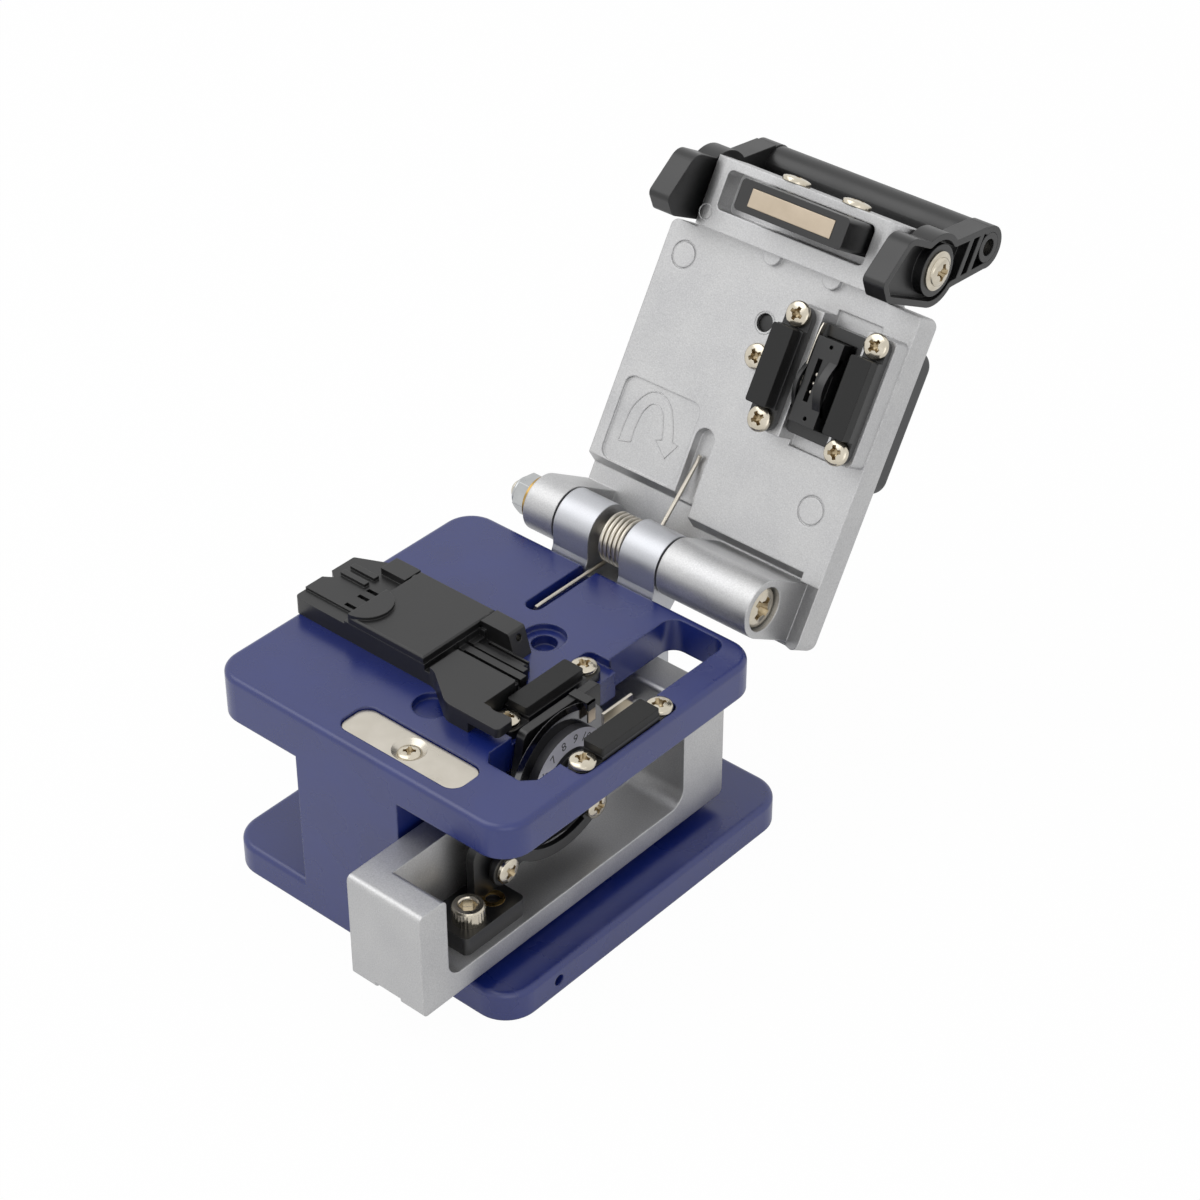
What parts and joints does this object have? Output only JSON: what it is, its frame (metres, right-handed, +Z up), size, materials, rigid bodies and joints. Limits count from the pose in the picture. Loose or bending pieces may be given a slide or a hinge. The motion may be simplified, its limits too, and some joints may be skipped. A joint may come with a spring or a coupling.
{
  "type": "fibre cleaver",
  "caption": "Bench fibre cleaver: a blue C-shaped frame, a hinged silver lid with clamp pads and anvil, a fibre holder, and a sliding carriage with a numbered blade wheel.",
  "frame": {"origin": "centre of the flat underside that the cleaver stands on", "axes": "+Z up, +Y from the front of the deck to the lid hinge, +X along the hinge to the blade side"},
  "size_m": [0.0653, 0.1392, 0.1008],
  "materials": {
    "blue_paint": "smooth semi-gloss blue paint on an aluminium casting",
    "silver_casting": "fine bead-blasted aluminium",
    "smooth_metal": "smooth machined aluminium",
    "nickel_screw": "nickel-plated steel",
    "bright_steel": "ground steel",
    "blade_steel": "mirror-polished hard alloy",
    "magnet": "plated magnet face",
    "brass": "turned brass",
    "black_plastic": "matt moulded black plastic",
    "black_metal": "black anodised plate",
    "rubber": "matt black rubber",
    "grey_cover": "matt dark grey plastic"
  },
  "bodies": {
    "frame": {"body_frame": "blue_paint", "base_pad": "rubber", "set_screw": "bright_steel", "keeper_plate": "bright_steel", "keeper_screw": "nickel_screw", "deck_clamp_block_left": "black_metal", "deck_clamp_block_right": "black_metal", "deck_pad_left": "rubber", "deck_pad_right": "rubber", "deck_clamp_screws": "nickel_screw", "fibre_stop_strip": "bright_steel", "hinge_bracket": "smooth_metal", "hinge_bracket_screws": "nickel_screw", "hinge_screw": "nickel_screw", "hinge_nut": "nickel_screw", "hinge_washer": "brass", "torsion_spring": "bright_steel", "guide_rail": "bright_steel", "guide_rail_screws": "nickel_screw", "fibre_holder_base": "black_plastic", "holder_hinge_pin": "bright_steel", "holder_screws": "nickel_screw"},
    "lid": {"lid_casting": "silver_casting", "lid_screw": "nickel_screw", "lid_clamp_block_left": "black_metal", "lid_clamp_block_right": "black_metal", "lid_pad_left": "rubber", "lid_pad_right": "rubber", "lid_clamp_screws": "nickel_screw", "anvil_housing": "smooth_metal", "anvil_spring": "bright_steel", "magnet_holder": "black_plastic", "lid_magnet": "magnet", "magnet_screws": "nickel_screw", "outer_cover": "grey_cover", "outer_cover_screws": "nickel_screw", "lever_pivot_screws": "nickel_screw"},
    "lever": {"lever_arm_left": "black_metal", "lever_arm_right": "black_metal", "grip_tube": "black_metal", "grip_rod": "bright_steel"},
    "anvil": {"anvil": "black_plastic"},
    "carriage": {"guide_block": "bright_steel", "carriage_casting": "silver_casting", "blade_mount": "black_metal", "threaded_insert": "brass", "mount_cap_screw": "nickel_screw", "blade_arm": "black_metal", "blade_guard": "black_metal", "guard_screws": "nickel_screw", "index_tab": "bright_steel", "wheel_axle": "bright_steel", "hub_screw": "blade_steel"},
    "blade": {"blade_disc": "blade_steel", "number_ring": "smooth_metal", "wheel_hub": "black_metal"},
    "holder_cover": {"fibre_holder_cover": "black_plastic"}
  },
  "joints": [
    {"name": "lid_hinge", "type": "hinge", "parent": "frame", "child": "lid", "pos_m": [0, 0.0317, 0.0442], "axis": [1, 0, 0], "range_deg": [0, 121.1], "stiffness_Nm_per_rad": 0.02, "springref_deg": -20.05, "deforming": ["torsion_spring"]},
    {"name": "carriage_slide", "type": "slide", "parent": "frame", "child": "carriage", "axis": [0, 1, 0], "range_m": [0, 0.018]},
    {"name": "blade_wheel", "type": "hinge", "parent": "carriage", "child": "blade", "pos_m": [0.0195, -0.0095, 0.031], "axis": [1, 0, 0], "continuous": true},
    {"name": "lever_pivot", "type": "hinge", "parent": "lid", "child": "lever", "pos_m": [0, 0.07292, 0.09046], "axis": [1, 0, 0], "range_deg": [0, 8]},
    {"name": "anvil_slide", "type": "slide", "parent": "lid", "child": "anvil", "axis": [0, 0.8563, -0.5165], "range_m": [0, 0.0006], "stiffness_N_per_m": 600, "springref_m": -0.0003, "deforming": ["anvil_spring"]},
    {"name": "holder_cover_hinge", "type": "hinge", "parent": "frame", "child": "holder_cover", "pos_m": [-0.01175, -0.0004, 0.0442], "axis": [1, 0, 0], "range_deg": [-100, 0]}
  ]
}
